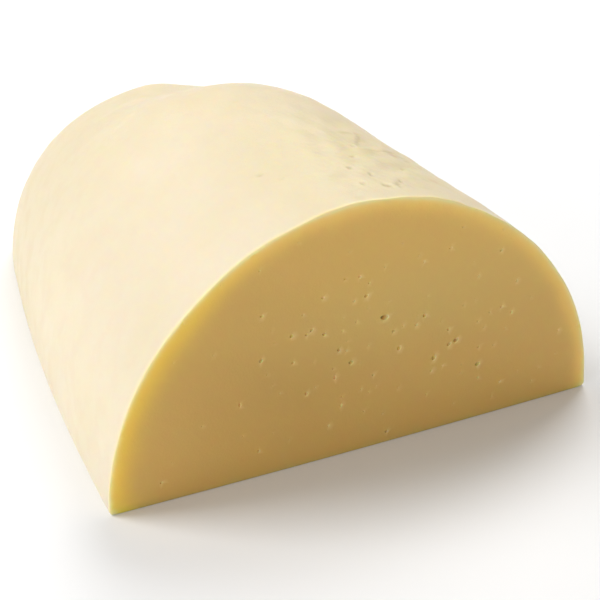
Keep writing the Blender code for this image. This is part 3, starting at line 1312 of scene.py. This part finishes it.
def front_eyes() -> Eyes:
    """The eyes of the front cut: the largest ones in their places, and scattered pinholes.

    Returns:
        The eyes.
    """
    # x, z, length, width (mm), turn (degrees) and tone
    chosen = Eyes.chosen(
        (
            (9.0, 54.0, 3.2, 1.8, -8.0, 1.0),
            (40.0, 36.5, 2.2, 1.6, 25.0, 1.0),
            (37.0, 35.5, 1.8, 1.2, 20.0, 0.8),
            (30.5, 31.5, 1.6, 2.1, -15.0, 0.9),
            (50.0, 23.5, 1.8, 1.4, 15.0, 1.0),
            (-4.5, 38.5, 1.8, 1.4, 0.0, 1.0),
            (-20.5, 56.0, 1.5, 1.0, 40.0, 0.8),
            (-22.5, 54.5, 1.0, 0.9, 0.0, 0.8),
            (15.5, 39.5, 1.5, 1.8, -25.0, 0.7),
            (26.0, 50.5, 1.5, 1.3, 0.0, 0.9),
            (36.5, 42.0, 1.2, 1.3, 20.0, 0.8),
            (1.5, 64.5, 1.6, 1.1, 25.0, 0.9),
            (-9.5, 45.0, 1.3, 1.0, 0.0, 1.0),
            (-15.5, 53.0, 1.2, 1.0, 0.0, 1.0),
            (-22.5, 30.0, 1.3, 1.3, 10.0, 0.9),
            (11.0, 4.5, 1.3, 1.1, 0.0, 1.0),
            (-8.5, 21.5, 1.0, 1.3, 0.0, 0.3),
            (58.0, 70.0, 1.4, 0.9, 20.0, 0.4),
            (64.0, 42.5, 1.2, 1.2, 0.0, 0.4),
            (59.5, 46.0, 1.4, 1.0, 0.0, 0.4),
            (13.0, 47.0, 1.2, 1.0, 0.0, 0.8),
            (-1.5, 73.0, 1.2, 1.1, 0.0, 0.4),
            (-16.0, 68.0, 1.3, 1.0, 0.0, 0.4),
            (-3.5, 63.5, 1.0, 0.8, 0.0, 0.3),
            (-8.0, 52.5, 0.9, 0.9, 0.0, 0.2),
            (-6.5, 44.0, 0.9, 0.8, 0.0, 0.4),
            (-11.0, 34.0, 1.0, 1.8, 5.0, 0.5),
            (-13.5, 14.0, 1.0, 1.0, 0.0, 0.2),
            (48.5, 61.5, 0.9, 1.2, 0.0, 0.3),
            (50.0, 31.0, 0.9, 0.9, 0.0, 0.5),
            (50.5, 17.5, 0.9, 0.8, 0.0, 0.3),
            (60.5, 13.0, 1.1, 0.8, 30.0, 0.3),
            (25.0, 73.0, 0.9, 1.2, 0.0, 0.2),
            (36.0, 76.0, 1.3, 0.9, 0.0, 0.3),
            (29.5, 26.0, 1.1, 0.8, 0.0, 0.4),
            (34.5, 27.0, 0.9, 0.9, 0.0, 0.3),
            (22.5, 47.5, 1.2, 0.8, 30.0, 0.6),
            (17.0, 48.5, 0.8, 1.0, 0.0, 0.3),
            (65.5, 55.5, 0.9, 1.3, 0.0, 0.2),
            (86.5, 29.0, 0.9, 0.9, 0.0, 0.3),
            (-2.5, 55.0, 0.9, 0.8, 0.0, 0.5),
            (-24.0, 63.0, 0.9, 0.8, 0.0, 0.4),
            (-28.5, 55.5, 1.5, 1.2, 30.0, 0.8),
            (-28.0, 44.5, 1.1, 0.9, 0.0, 0.7),
            (-40.0, 66.5, 1.4, 1.0, 0.0, 0.5),
            (-40.5, 48.5, 1.2, 1.7, -30.0, 0.8),
            (-49.0, 32.5, 0.9, 1.7, 0.0, 0.6),
            (-42.0, 11.0, 1.0, 1.1, 0.0, 0.6),
            (-80.0, 8.5, 1.2, 0.8, 0.0, 0.6),
        )
    )
    cluster = np.array(((10.0, 42.0), (30.0, 16.0))) * MM
    low, high = np.array((-88.0, 4.0)) * MM, np.array((88.0, 96.0)) * MM
    small = scattered(80, low, high, (0.2 * MM, 0.36 * MM), 3.5 * MM, 41, cluster, 0.3)
    clear = distance_to(small.centre, chosen.centre) > 3.0 * MM
    return chosen.joined(small.picked(clear))


def base_eyes(form: LogForm) -> Eyes:
    """The eyes of the base cut, scattered all over it.

    Args:
        form: the log's form.

    Returns:
        The eyes.
    """
    reach = np.array((0.85 * form.half_width, 0.45 * form.length))
    return scattered(260, -reach, reach, (0.4 * MM, 1.3 * MM), 5.0 * MM, 42)


# ---------------------------------------------------------------------------------------------
# Studio
# ---------------------------------------------------------------------------------------------


def towards(azimuth: float, elevation: float) -> Vector:
    """The direction from the cheese to a place round it. Azimuth 0 is in front, and -90 is to the left."""
    turn, rise = math.radians(azimuth), math.radians(elevation)
    return Vector((math.sin(turn) * math.cos(rise), -math.cos(turn) * math.cos(rise), math.sin(rise)))


@dataclass(frozen=True)
class SoftBox:
    """A soft, square studio light that points at the cheese."""

    name: str
    azimuth: float
    elevation: float
    distance: float
    size: float
    power: float
    colour: Colour = (1.0, 1.0, 1.0)

    def build(self, target: Vector) -> bpy.types.Object:
        """Adds the light.

        Args:
            target: what it points at.

        Returns:
            The light.
        """
        data = bpy.data.lights.new(self.name, "AREA")
        data.shape = "SQUARE"
        data.size = self.size
        data.energy = self.power
        data.color = self.colour
        light = bpy.data.objects.new(self.name, data)
        back = towards(self.azimuth, self.elevation)
        light.location = target + back * self.distance
        light.rotation_mode = "QUATERNION"
        light.rotation_quaternion = (-back).to_track_quat("-Z", "Y")
        bpy.context.scene.collection.objects.link(light)
        return light


@dataclass
class Studio:
    """The plain floor, the soft lights and the camera."""

    form: LogForm
    floor_size: float = 12.0
    floor: PlainFinish = PlainFinish("floor", (0.93, 0.93, 0.93), 0.8)
    world_colour: Colour = (1.0, 1.0, 1.0)
    world_strength: float = 0.28
    lights: tuple[SoftBox, ...] = (
        SoftBox("key", -120.0, 50.0, 1.7, 0.8, 17.2),
        SoftBox("left", -60.0, 20.0, 1.7, 0.8, 7.7),
        SoftBox("back", 135.0, 50.0, 1.7, 0.8, 14.9),
    )
    azimuth: float = -26.45
    elevation: float = 28.56
    distance: float = 0.65
    lens: float = 110.84
    target_x: float = -24.7 * MM
    target_z: float = 68.9 * MM

    def build_floor(self) -> bpy.types.Object:
        """Adds the floor, just under the cheese.

        Returns:
            The floor.
        """
        half = self.floor_size / 2.0
        mesh = bpy.data.meshes.new("floor")
        corners = np.array(((-1, -1), (1, -1), (1, 1), (-1, 1))) * half
        points = np.column_stack((corners, np.full(4, -0.1 * MM)))
        mesh.from_pydata(points.tolist(), [], [(0, 1, 2, 3)])
        mesh.materials.append(self.floor.material())
        floor = bpy.data.objects.new("floor", mesh)
        bpy.context.scene.collection.objects.link(floor)
        return floor

    def build_lights(self) -> None:
        """Adds the soft boxes and the world's even light."""
        target = Vector((0.0, 0.0, self.form.height / 2.0))
        for light in self.lights:
            light.build(target)
        world = bpy.data.worlds.new("studio")
        world.use_nodes = True
        background = world.node_tree.nodes["Background"]
        background.inputs["Color"].default_value = (*self.world_colour, 1.0)
        background.inputs["Strength"].default_value = self.world_strength
        bpy.context.scene.world = world

    def build_camera(self) -> bpy.types.Object:
        """Adds the camera, which looks at a point on the front cut.

        Returns:
            The camera.
        """
        back = towards(self.azimuth, self.elevation)
        data = bpy.data.cameras.new("camera")
        data.lens = self.lens
        data.sensor_width = 36.0
        data.clip_start, data.clip_end = 0.05, 50.0
        camera = bpy.data.objects.new("camera", data)
        camera.location = Vector((self.target_x, self.form.front, self.target_z)) + back * self.distance
        camera.rotation_mode = "QUATERNION"
        camera.rotation_quaternion = (-back).to_track_quat("-Z", "Y")
        bpy.context.scene.collection.objects.link(camera)
        bpy.context.scene.camera = camera
        return camera

    def build(self) -> None:
        """Builds the whole studio."""
        self.build_floor()
        self.build_lights()
        self.build_camera()
        bpy.context.scene.view_settings.view_transform = "Standard"


def main() -> None:
    """Builds the cheese and its studio."""
    logging.basicConfig(level=logging.INFO, format="%(name)s: %(message)s")
    form = LogForm.from_model(NODE, 1.5 * MM)
    cheese = Cheese(form)
    piece = cheese.build()
    cheese.dress(piece)
    LOG.info("%s: %d points, %d faces", piece.name, len(piece.data.vertices), len(piece.data.polygons))
    Studio(form).build()
    LOG.info("studio ready")


if __name__ == "__main__":
    main()
